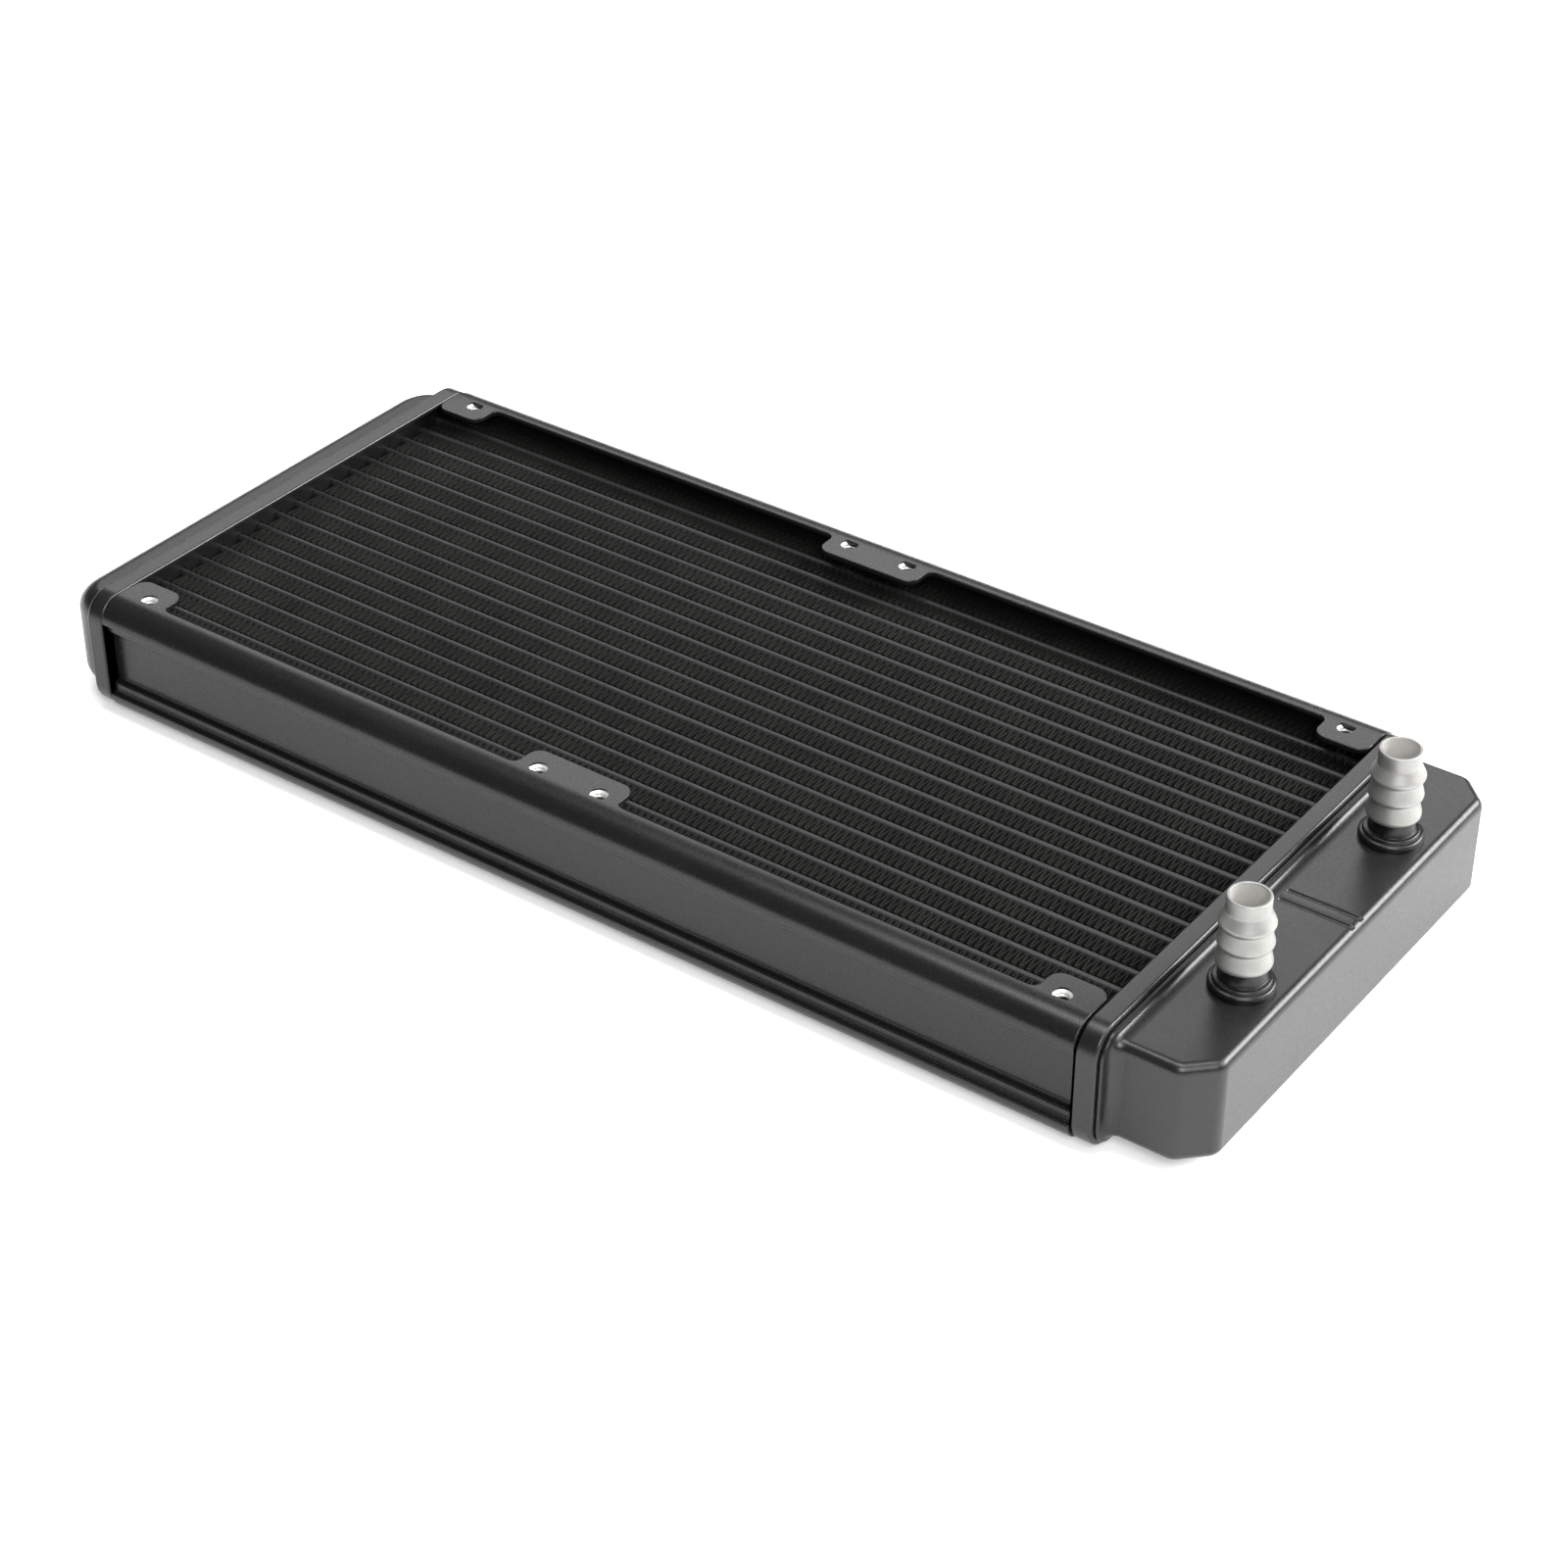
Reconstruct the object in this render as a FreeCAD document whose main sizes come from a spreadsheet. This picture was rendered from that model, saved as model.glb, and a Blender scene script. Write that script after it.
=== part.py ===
"""Water cooling radiator for two fans side by side, as a parametric document in millimetres.

A core of flat tubes and folded fins runs between two headers. A deep tank with two hose barbs
closes one end, a shallow return tank the other, and a folded cover with screw tabs each side.
Frame: origin under the middle of the part, X along the tubes towards the hose barbs, Z up.
"""
import FreeCAD, Part
import os
import re

import Sketcher

# Driving dimensions, one spreadsheet cell each
SIZES = {
    # Overall
    "fanSize": 120.0,
    "fanHoleInset": 7.5,
    "bodyWidth": 120.0,
    "bodyHeight": 27.0,
    # Headers: drawn pans, open towards the core
    "headerDepth": 4.3,
    "headerSheet": 1.0,
    "headerWeb": 1.5,
    "headerCorner": 6.0,
    "headerInnerBevel": 3.5,
    # Flat tubes
    "tubeCount": 18,
    "tubeThickness": 1.8,
    "coreInset": 5.5,
    "tubeWall": 0.35,
    "tubeNose": 0.5,
    "tubeReach": 1.0,
    "slotClearance": 0.1,
    # Folded fin strips
    "finWaves": 10,
    "finSheet": 0.3,
    "finInset": 0.3,
    "finTuck": 1.0,
    "finClearance": 0.05,
    # Side covers
    "coverSheet": 1.2,
    "coverGap": 0.4,
    "beadHeight": 5.0,
    "beadRound": 4.8,
    "beadInnerBevel": 2.0,
    "landInset": 1.3,
    "landHeight": 7.4,
    "panelInset": 2.7,
    "tongueClearance": 0.1,
    "lipReach": 6.5,
    "tabReach": 13.1,
    "midTabWidth": 24.8,
    "endTabWidth": 12.0,
    "tabCorner": 2.2,
    "screwRadius": 1.75,
    # Tanks
    "tankWall": 1.8,
    "tankSideInset": 4.3,
    "tankTopInset": 2.6,
    "tankEdge": 2.0,
    "footSheet": 0.9,
    "footInset": 1.0,
    "footCorner": 5.0,
    "portTankDepth": 20.1,
    "portTankChamfer": 6.0,
    "returnTankDepth": 9.8,
    "returnTankInset": 2.2,
    "returnTankCorner": 9.0,
    "returnTankEdge": 4.5,
    "pressedLineWidth": 0.7,
    "pressedLineDepth": 0.5,
    "pressedLineSpacing": 3.3,
    "dividerSheet": 1.5,
    "dividerClearance": 0.1,
    # Hose ports
    "portSetback": 9.2,
    "portSpacing": 56.8,
    "boreRadius": 3.5,
    "barbFlats": 20,
    "flangeRadius": 6.3,
    "flangeHeight": 1.6,
    "collarRadius": 5.5,
    "collarHeight": 0.6,
    "shoulderRise": 0.2,
    "neckRadius": 4.5,
    "neckHeight": 2.4,
    "ridgeCount": 3,
    "ridgeRadius": 5.3,
    "ridgePitch": 4.2,
    "ridgeUndercut": 1.0,
    "valleyRadius": 4.6,
    "noseRadius": 4.15,
    "noseTaper": 2.4,
    "noseLength": 3.2,
}

# Sizes and places that follow from the driving dimensions
DERIVED = {
    "halfWidth": "bodyWidth / 2",
    "midHeight": "bodyHeight / 2",
    "fanCentre": "(returnTankDepth - portTankDepth) / 2",
    "headerFace": "fanSize + headerDepth",
    "coreHalf": "halfWidth - panelInset - coverSheet",
    "tubePitch": "(2 * coreHalf + tubeThickness) / (tubeCount + 1)",
    "tubeLength": "2 * (headerFace + tubeReach)",
    "tubeHalf": "tubeThickness / 2",
    "tubeEdge": "bodyHeight / 2 - coreInset",
    "firstTube": "-tubePitch * (tubeCount - 1) / 2",
    "finWidth": "2 * (tubeEdge - finInset)",
    "finHeight": "tubePitch - tubeThickness - 2 * finClearance",
    "finLength": "2 * (fanSize + finTuck)",
    "finWave": "finLength / finWaves",
    "finRise": "finSheet * sqrt(1 + (2 * finHeight / finWave) ^ 2)",
    "coverEnd": "fanSize - coverGap",
    "tongueEnd": "headerFace - headerWeb - tongueClearance",
    "landFace": "halfWidth - landInset",
    "panelFace": "halfWidth - panelInset",
    "lipEdge": "halfWidth - lipReach",
    "tabEdge": "halfWidth - tabReach",
    "outerHole": "fanSize - fanHoleInset",
    "sideHole": "halfWidth - fanHoleInset",
    "tankHalf": "halfWidth - tankSideInset",
    "tankTop": "bodyHeight - tankTopInset",
    "returnTankHalf": "halfWidth - returnTankInset",
    "cavityFloor": "tankTopInset + tankWall",
    "cavityRoof": "bodyHeight - cavityFloor",
    "portPlace": "portTankDepth - portSetback",
    "collarBase": "flangeHeight + shoulderRise",
    "collarTop": "collarBase + collarHeight",
    "neckTop": "collarTop + shoulderRise + neckHeight",
    "noseBase": "neckTop + (ridgeCount - 1) * ridgePitch + ridgeUndercut + noseTaper",
    "noseTop": "noseBase + noseLength",
}

TOUCH = 1e-4
AXES = {"X": FreeCAD.Vector(1, 0, 0), "Y": FreeCAD.Vector(0, 1, 0), "Z": FreeCAD.Vector(0, 0, 1)}

doc = FreeCAD.newDocument("water_cooling_radiator")
sheet = doc.addObject("Spreadsheet::Sheet", "Sizes")
for line, (alias, size) in enumerate(SIZES.items(), start=1):
    sheet.set("A%d" % line, alias)
    sheet.set("B%d" % line, str(size))
    sheet.setAlias("B%d" % line, alias)
doc.recompute()


def bound(text):
    """The expression for a size: each name becomes its cell, or the expression it follows from."""
    def swap(match):
        word = match.group(0)
        if word in DERIVED:
            return "(" + bound(DERIVED[word]) + ")"
        return "Sizes." + word if word in SIZES else word
    return re.sub(r"[A-Za-z]+", swap, text)


def value(text):
    """The present value of a size."""
    return float(sheet.evalExpression(bound(text)))


def near(first, second):
    return abs(first - second) < TOUCH


def new_body(label):
    body = doc.addObject("PartDesign::Body", label)
    body.Label = label
    return body


def origin_feature(body, role):
    return next(item for item in body.Origin.OriginFeatures if item.Role == role)


def sketch_on(body, role, offset="0"):
    """An empty sketch on one of the body's own planes, moved along that plane's normal."""
    sketch = body.newObject("Sketcher::SketchObject", body.Name + "_sketch")
    sketch.AttachmentSupport = [(origin_feature(body, role), "")]
    sketch.MapMode = "FlatFace"
    sketch.setExpression(".AttachmentOffset.Base.z", bound(offset))
    return sketch


def pin_point(sketch, geometry, point, across, up):
    """Hold one point of a sketch at two bound distances from the sketch's origin."""
    for kind, text in (("DistanceX", across), ("DistanceY", up)):
        index = sketch.addConstraint(Sketcher.Constraint(kind, -1, 1, geometry, point, value(text)))
        sketch.setExpression("Constraints[%d]" % index, bound(text))


def polygon(sketch, corners):
    """A closed outline of straight lines through corners given as pairs of size expressions."""
    places = [FreeCAD.Vector(value(across), value(up), 0) for across, up in corners]
    ends = places[1:] + places[:1]
    lines = [sketch.addGeometry(Part.LineSegment(a, b)) for a, b in zip(places, ends)]
    for line, following in zip(lines, lines[1:] + lines[:1]):
        sketch.addConstraint(Sketcher.Constraint("Coincident", line, 2, following, 1))
    for line, (across, up) in zip(lines, corners):
        pin_point(sketch, line, 1, across, up)


def rectangle(left, right, low, high):
    return [(left, low), (right, low), (right, high), (left, high)]


def circle(sketch, across, up, radius):
    centre = FreeCAD.Vector(value(across), value(up), 0)
    ring = sketch.addGeometry(Part.Circle(centre, AXES["Z"], value(radius)))
    pin_point(sketch, ring, 3, across, up)
    index = sketch.addConstraint(Sketcher.Constraint("Radius", ring, value(radius)))
    sketch.setExpression("Constraints[%d]" % index, bound(radius))


def pad(body, sketch, length):
    feature = body.newObject("PartDesign::Pad", body.Name + "_pad")
    feature.Profile = sketch
    feature.setExpression("Length", bound(length))
    doc.recompute()
    return feature


def pocket(body, sketch, length, forward=False):
    """A cut against the sketch's normal, or along it, that has to take some material away."""
    before = body.Tip.Shape.Volume
    feature = body.newObject("PartDesign::Pocket", body.Name + "_pocket")
    feature.Profile = sketch
    feature.Reversed = forward
    feature.setExpression("Length", bound(length))
    doc.recompute()
    if feature.Shape.Volume > before - TOUCH:
        raise RuntimeError("a pocket of %s cuts nothing" % body.Label)
    return feature


def row(body, original, axis, length, count):
    """Repeat a feature in a straight row."""
    feature = body.newObject("PartDesign::LinearPattern", body.Name + "_row")
    feature.Originals = [original]
    feature.Direction = (origin_feature(body, axis + "_Axis"), [""])
    feature.setExpression("Length", bound(length))
    feature.setExpression("Occurrences", bound(count))
    body.Tip = feature
    doc.recompute()


def middle(edge):
    return edge.valueAt((edge.FirstParameter + edge.LastParameter) / 2)


def along(edge, axis):
    """True for a straight edge parallel to an axis."""
    if edge.Curve.TypeId != "Part::GeomLine":
        return False
    return near(abs(edge.Curve.Direction.dot(AXES[axis])), 1)


def dress(body, kind, size, test):
    """Round or bevel the edges of the body that pass a test."""
    base = body.Tip
    names = ["Edge%d" % k for k, edge in enumerate(base.Shape.Edges, start=1) if test(edge)]
    feature = body.newObject("PartDesign::" + kind, body.Name + "_" + kind.lower())
    feature.Base = (base, names)
    feature.setExpression({"Fillet": "Radius", "Chamfer": "Size"}[kind], bound(size))
    doc.recompute()


def place(body, x, y, z, turned=False):
    """Set a body in the frame, turned half round about Z where it faces the other way."""
    body.Placement = FreeCAD.Placement(FreeCAD.Vector(), FreeCAD.Rotation(AXES["Z"], 180 if turned else 0))
    for axis, text in (("x", x), ("y", y), ("z", z)):
        body.setExpression(".Placement.Base." + axis, bound(text))
    return body


def header(label, x, turned):
    """Drawn pan with its face at x = 0, its skirt towards -X and one slot for each tube."""
    body = new_body(label)
    outside = sketch_on(body, "YZ_Plane", "-headerDepth")
    polygon(outside, rectangle("-halfWidth", "halfWidth", "0", "bodyHeight"))
    pad(body, outside, "headerDepth")
    inside = sketch_on(body, "YZ_Plane", "-headerDepth")
    inner = "halfWidth - headerSheet"
    polygon(inside, rectangle("headerSheet - halfWidth", inner, "headerSheet", "bodyHeight - headerSheet"))
    pocket(body, inside, "headerDepth - headerWeb", forward=True)
    skirt, side = value(inner), value("halfWidth")
    for kind, size, wall in (("Chamfer", "headerInnerBevel", skirt), ("Fillet", "headerCorner", side)):
        dress(body, kind, size, lambda edge: along(edge, "X") and near(abs(middle(edge).y), wall))

    slot = sketch_on(body, "YZ_Plane")
    half = "(tubeHalf + slotClearance)"
    reach = "(tubeEdge + slotClearance)"
    polygon(slot, rectangle("firstTube - " + half, "firstTube + " + half,
                            "midHeight - " + reach, "midHeight + " + reach))
    cut = pocket(body, slot, "headerWeb")
    row(body, cut, "Y", "tubePitch * (tubeCount - 1)", "tubeCount")
    return place(body, x, "0", "0", turned)


def tank_plan(depth, half, corner, flats):
    """Plan of a tank from its open side at x = 0, its far corners rounded off in a number of flats."""
    far_side = []
    for step in range(flats + 1):
        turn = 90 * step / flats
        far_side.append(("%s - %s * (1 - sin(%g))" % (depth, corner, turn),
                         "%s - %s * (1 - cos(%g))" % (half, corner, turn)))
    near_side = [(across, "-(%s)" % up) for across, up in far_side]
    return [("0", "-" + half)] + near_side + far_side[::-1] + [("0", half)]


def tank_shell(body, depth, half, inset, corner, edge_radius, flats):
    """Hollow pressed tank, open at x = 0, with round rims and a thin foot against the header."""
    plan = sketch_on(body, "XY_Plane", inset)
    polygon(plan, tank_plan(depth, half, corner, flats))
    pad(body, plan, "bodyHeight - 2 * " + inset)
    low, high = value(inset), value("bodyHeight - " + inset)

    def is_rim(edge):
        box = edge.BoundBox
        level = near(box.ZMin, box.ZMax) and (near(box.ZMin, low) or near(box.ZMin, high))
        return level and box.XMax > TOUCH

    dress(body, "Fillet", edge_radius, is_rim)

    foot = sketch_on(body, "YZ_Plane")
    foot_half = "(halfWidth - footInset)"
    polygon(foot, rectangle("-" + foot_half, foot_half, "footInset", "bodyHeight - footInset"))
    pad(body, foot, "footSheet")
    side = value(foot_half)
    dress(body, "Fillet", "footCorner", lambda edge: along(edge, "X") and near(abs(middle(edge).y), side))

    cavity = sketch_on(body, "XY_Plane", inset + " + tankWall")
    polygon(cavity, tank_plan("(%s - tankWall)" % depth, "(%s - tankWall)" % half,
                              "(%s - tankWall)" % corner, flats))
    pocket(body, cavity, "bodyHeight - 2 * (%s + tankWall)" % inset, forward=True)


def port_tank():
    """Deep tank with cut-off corners, two port holes and two pressed lines over the divider."""
    body = new_body("port_tank")
    tank_shell(body, "portTankDepth", "tankHalf", "tankTopInset", "portTankChamfer", "tankEdge", flats=1)

    holes = sketch_on(body, "XY_Plane", "tankTop")
    for side in ("-portSpacing / 2", "portSpacing / 2"):
        circle(holes, "portPlace", side, "boreRadius")
    pocket(body, holes, "tankWall")

    lines = sketch_on(body, "XY_Plane", "tankTop")
    for side in ("-pressedLineSpacing / 2", "pressedLineSpacing / 2"):
        polygon(lines, rectangle("footSheet", "portTankDepth",
                                 side + " - pressedLineWidth / 2", side + " + pressedLineWidth / 2"))
    pocket(body, lines, "pressedLineDepth")
    return place(body, "fanCentre + headerFace", "0", "0")


def return_tank():
    """Shallow tank with rounded corners that turns the flow back."""
    body = new_body("return_tank")
    tank_shell(body, "returnTankDepth", "returnTankHalf", "returnTankInset", "returnTankCorner",
               "returnTankEdge", flats=3)
    return place(body, "fanCentre - headerFace", "0", "0", turned=True)


def flow_divider():
    """Plate across the port tank that keeps the inlet half from the outlet half."""
    body = new_body("flow_divider")
    plate = sketch_on(body, "XZ_Plane", "-dividerSheet / 2")
    polygon(plate, rectangle("dividerClearance", "portTankDepth - tankWall - dividerClearance",
                             "cavityFloor + dividerClearance", "cavityRoof - dividerClearance"))
    pad(body, plate, "dividerSheet")
    return place(body, "fanCentre + headerFace", "0", "0")


def hose_barb(label, side):
    """Hose fitting with flange, collar, neck, rising ridges and nose: one flat, repeated about its axis."""
    levels = [("flangeRadius", "0"), ("flangeRadius", "flangeHeight"),
              ("collarRadius", "collarBase"), ("collarRadius", "collarTop"),
              ("neckRadius", "collarTop + shoulderRise")]
    for ridge in range(round(value("ridgeCount"))):
        valley = "neckTop + %d * ridgePitch" % ridge
        levels.append(("valleyRadius" if ridge else "neckRadius", valley))
        levels.append(("ridgeRadius", valley + " + ridgeUndercut"))
    levels += [("noseRadius", "noseBase"), ("noseRadius", "noseTop")]

    body = new_body(label)
    blank = sketch_on(body, "XY_Plane")
    polygon(blank, rectangle("-flangeRadius", "flangeRadius", "-flangeRadius", "flangeRadius"))
    pad(body, blank, "noseTop")
    bore = sketch_on(body, "XY_Plane")
    circle(bore, "0", "0", "boreRadius")
    pocket(body, bore, "noseTop", forward=True)
    flat = sketch_on(body, "XZ_Plane", "-2 * flangeRadius")
    polygon(flat, levels + [("2 * flangeRadius", "noseTop"), ("2 * flangeRadius", "0")])
    cut = pocket(body, flat, "4 * flangeRadius", forward=True)
    turn = body.newObject("PartDesign::PolarPattern", label + "_turn")
    turn.Originals = [cut]
    turn.Axis = (origin_feature(body, "Z_Axis"), [""])
    turn.Angle = 360
    turn.setExpression("Occurrences", bound("barbFlats"))
    body.Tip = turn
    doc.recompute()
    return place(body, "fanCentre + headerFace + portPlace", side, "tankTop")


def flat_tube(number):
    """Hollow flat tube with bevelled noses, through both headers."""
    body = new_body("flat_tube_%02d" % (number + 1))
    section = sketch_on(body, "YZ_Plane", "-tubeLength / 2")
    flat, edge = "(tubeHalf - tubeNose)", "(tubeEdge - tubeNose)"
    polygon(section, [("-" + flat, "-tubeEdge"), (flat, "-tubeEdge"), ("tubeHalf", "-" + edge),
                      ("tubeHalf", edge), (flat, "tubeEdge"), ("-" + flat, "tubeEdge"),
                      ("-tubeHalf", edge), ("-tubeHalf", "-" + edge)])
    bore_half, bore_edge = "(tubeHalf - tubeWall)", "(tubeEdge - tubeNose)"
    polygon(section, rectangle("-" + bore_half, bore_half, "-" + bore_edge, bore_edge))
    pad(body, section, "tubeLength")
    return place(body, "fanCentre", "firstTube + %d * tubePitch" % number, "midHeight")


def fin_strip(number):
    """Strip of sheet folded to and fro between two tubes: one fold, repeated in a row."""
    body = new_body("fin_strip_%02d" % (number + 1))
    fold = sketch_on(body, "XY_Plane", "-finWidth / 2")
    start, crest, end = "-finLength / 2", "finWave / 2 - finLength / 2", "finWave - finLength / 2"
    low, high = "-finHeight / 2", "finHeight / 2"
    polygon(fold, [(start, low), (crest, high + " - finRise"), (end, low),
                   (end, low + " + finRise"), (crest, high), (start, low + " + finRise")])
    first = pad(body, fold, "finWidth")
    row(body, first, "X", "finLength - finWave", "finWaves")
    return place(body, "fanCentre", "firstTube + (%d - 0.5) * tubePitch" % number, "midHeight")


def cover_section():
    """Channel section of a side cover: lips, round beads, lands and the sunk panel between them."""
    outer = [("lipEdge", "0"), ("halfWidth", "0"), ("halfWidth", "beadHeight"), ("landFace", "beadHeight"),
             ("landFace", "landHeight"), ("panelFace", "landHeight")]
    inner = [("lipEdge", "coverSheet"), ("halfWidth - coverSheet", "coverSheet")]
    inner += [(across + " - coverSheet", up + " - coverSheet") for across, up in outer[2:]]

    def mirrored(points):
        return [(across, "bodyHeight - (%s)" % up) for across, up in points]

    return outer + mirrored(outer[::-1]) + mirrored(inner) + inner[::-1]


def side_cover(label, turned):
    """Folded side cover with three screw tabs on each lip and a tongue into both headers."""
    body = new_body(label)
    section = sketch_on(body, "YZ_Plane", "-coverEnd")
    polygon(section, cover_section())
    pad(body, section, "2 * coverEnd")
    outer, inner = value("halfWidth"), value("halfWidth - coverSheet")
    levels = [value("coverSheet"), value("bodyHeight - coverSheet")]
    top = value("bodyHeight")

    def is_outer_bead(edge):
        spot = middle(edge)
        return along(edge, "X") and near(spot.y, outer) and (near(spot.z, 0) or near(spot.z, top))

    def is_inner_bead(edge):
        spot = middle(edge)
        return along(edge, "X") and near(spot.y, inner) and any(near(spot.z, level) for level in levels)

    dress(body, "Fillet", "beadRound", is_outer_bead)
    dress(body, "Chamfer", "beadInnerBevel", is_inner_bead)

    tongue = sketch_on(body, "YZ_Plane", "-tongueEnd")
    polygon(tongue, rectangle("panelFace - coverSheet", "panelFace", "landHeight", "bodyHeight - landHeight"))
    pad(body, tongue, "2 * tongueEnd")

    spans = [("-coverEnd", "endTabWidth - coverEnd"), ("-midTabWidth / 2", "midTabWidth / 2"),
             ("coverEnd - endTabWidth", "coverEnd")]
    for level in ("0", "bodyHeight - coverSheet"):
        tabs = sketch_on(body, "XY_Plane", level)
        for left, right in spans:
            polygon(tabs, rectangle(left, right, "tabEdge", "lipEdge + coverSheet"))
        pad(body, tabs, "coverSheet")
    tab_edge = value("tabEdge")
    dress(body, "Chamfer", "tabCorner", lambda edge: along(edge, "Z") and near(middle(edge).y, tab_edge))

    screws = sketch_on(body, "XY_Plane", "bodyHeight")
    for across in ("-outerHole", "-fanHoleInset", "fanHoleInset", "outerHole"):
        circle(screws, across, "sideHole", "screwRadius")
    pocket(body, screws, "bodyHeight")
    return place(body, "fanCentre", "0", "0", turned)


def build():
    """All the pieces, each a body of the document."""
    tubes = round(value("tubeCount"))
    pieces = [side_cover("side_cover_near", turned=True), side_cover("side_cover_far", turned=False),
              header("header_port_end", "fanCentre + headerFace", turned=False),
              header("header_return_end", "fanCentre - headerFace", turned=True),
              port_tank(), return_tank(), flow_divider(),
              hose_barb("hose_barb_near", "-portSpacing / 2"), hose_barb("hose_barb_far", "portSpacing / 2")]
    pieces += [flat_tube(number) for number in range(tubes)]
    pieces += [fin_strip(number) for number in range(tubes + 1)]
    return pieces


def check(pieces):
    """Stop if anything in the document failed or a piece is not one sound solid."""
    for item in doc.Objects:
        if "Invalid" in item.State or "Error" in item.State:
            raise RuntimeError("%s failed: %s" % (item.Label, item.State))
    for piece in pieces:
        if piece.Shape.isNull() or not piece.Shape.isValid() or len(piece.Shape.Solids) != 1:
            raise RuntimeError("%s is not one valid solid" % piece.Label)


pieces = build()
doc.recompute()
check(pieces)
os.makedirs("parts", exist_ok=True)
for piece in pieces:
    piece.Shape.exportStep("parts/%s.step" % piece.Label)
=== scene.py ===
"""Looks of the water cooling radiator: fine fins, rounded sheet edges, turned barbs and finishes."""
import math

import bmesh
import bpy
from mathutils import Matrix, Vector
from mathutils.geometry import tessellate_polygon


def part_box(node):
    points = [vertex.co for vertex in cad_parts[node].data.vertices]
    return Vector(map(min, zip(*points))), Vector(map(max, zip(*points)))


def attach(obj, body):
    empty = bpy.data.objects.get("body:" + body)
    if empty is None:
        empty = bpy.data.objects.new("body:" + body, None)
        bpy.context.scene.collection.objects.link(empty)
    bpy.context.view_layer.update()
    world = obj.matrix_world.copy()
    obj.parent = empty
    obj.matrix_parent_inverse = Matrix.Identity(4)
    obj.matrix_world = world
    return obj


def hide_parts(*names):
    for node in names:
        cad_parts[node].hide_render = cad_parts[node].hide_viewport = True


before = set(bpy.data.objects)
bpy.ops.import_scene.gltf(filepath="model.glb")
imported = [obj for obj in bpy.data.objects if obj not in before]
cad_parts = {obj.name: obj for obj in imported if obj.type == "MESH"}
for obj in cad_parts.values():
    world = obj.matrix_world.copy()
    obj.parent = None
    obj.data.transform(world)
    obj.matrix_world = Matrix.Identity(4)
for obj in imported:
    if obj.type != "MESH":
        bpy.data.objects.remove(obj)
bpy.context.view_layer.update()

MM = 0.001

# Sizes are in millimetres and angles in degrees, apart from the stage, whose places are in metres

# Limits within which points are joined, places are the same and faces are flat
WELD = 0.001
SAME_PLACE = 0.01
FLAT_WITHIN = 0.5

# Core
FIN_PERIOD = 1.62
FIN_CREST = 0.3
FIN_SHEET = 0.12
FIN_RISE = 0.25
TUBE_WALL = 0.35
NOSE_STEPS = 10

# Headers: the rim on the tank's side and the rim of the skirt towards the core
HEADER_CORNER = 6.0
FACE_RIM = 0.7
FACE_RIM_STEPS = 4
SKIRT_RIM = 0.9
SKIRT_RIM_STEPS = 6
SKIRT_RIM_PROFILE = 0.34
RIM_ANGLE = 60.0
RIM_SLACK = 0.1

# Side covers: shoulders as inset from the outer side and height over the lower lip
COVER_LENGTH = 239.2
COVER_SHEET = 1.2
COVER_BEAD = 4.6
BEND_REACH = 5.9
OUTER_BEND = 90.0
OUTER_BEND_STEPS = 18
INNER_BEND = 65.0
INNER_BEND_STEPS = 8
LIP_EDGE = 6.5
LIP_ROUND = 0.4
LIP_STEPS = 4
COVER_SHOULDERS = ((0.0, 5.0), (1.3, 5.0), (1.3, 7.4), (2.7, 7.4))
SHOULDER_ROUND = 0.6
SHOULDER_SHARE = 0.95
SHOULDER_STEPS = 5
SHEET_EDGE = 0.25
SHEET_PLAY = 0.02

# Tabs
END_TAB = 12.0
MID_TAB = 24.8
TAB_CORNER = 3.0
TAB_CORNER_STEPS = 8
TAB_ROOT = 1.5
TAB_ROOT_STEPS = 6
TAB_SINK = 0.005

# Screw holes and their tapped collars: radii, and depths under the face of the tab
SCREW_PLACES = (-112.5, -7.5, 7.5, 112.5)
SCREW_INSET = 7.5
SCREW_SINK = 1.9
SINK_DEPTH = 0.4
THREAD_MOUTH = (1.74, 0.6)
THREAD_ROOT = 1.70
THREAD_CREST = 1.48
THREAD_START = 0.65
THREAD_PITCH = 0.7
THREAD_TURNS = 2
THREAD_FLANKS = (0.0, 0.25, 0.4, 0.65)
COLLAR_END = (1.80, 2.2)
COLLAR_RADIUS = 2.25
COLLAR_SEAT = COVER_SHEET + SHEET_PLAY
COLLAR_STEPS = 40

# Tanks: the edges of the foot as reach from the header and inset from its side
RIM_STEPS = 8
CORNER_STEPS = 8
LEAST_CORNER = 0.4
TANK_FOOT = 0.9
FOOT_EDGES = ((0.0, 0.35), (0.12, 0.12), (0.3, 0.0), (TANK_FOOT - 0.3, 0.0), (TANK_FOOT - 0.08, 0.1),
              (TANK_FOOT, 0.3))
FOOT_CORNER = 5.0
FOOT_LEDGE = 0.4
FILLET_CORNER = 4.6
FILLET_STRETCH = 2.2
FILLET_SINK = 0.01
FILLET_STEPS = 8

# Pressed grooves on the port tank
GROOVES = (-1.65, 1.65)
GROOVE_HALF = 0.8
GROOVE_DEPTH = 0.5
GROOVE_STEPS = 4
GROOVE_LEAD = 0.4
GROOVE_RAMP = 0.6
RAMP_STEPS = 4
RIM_FADE = 0.85

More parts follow.
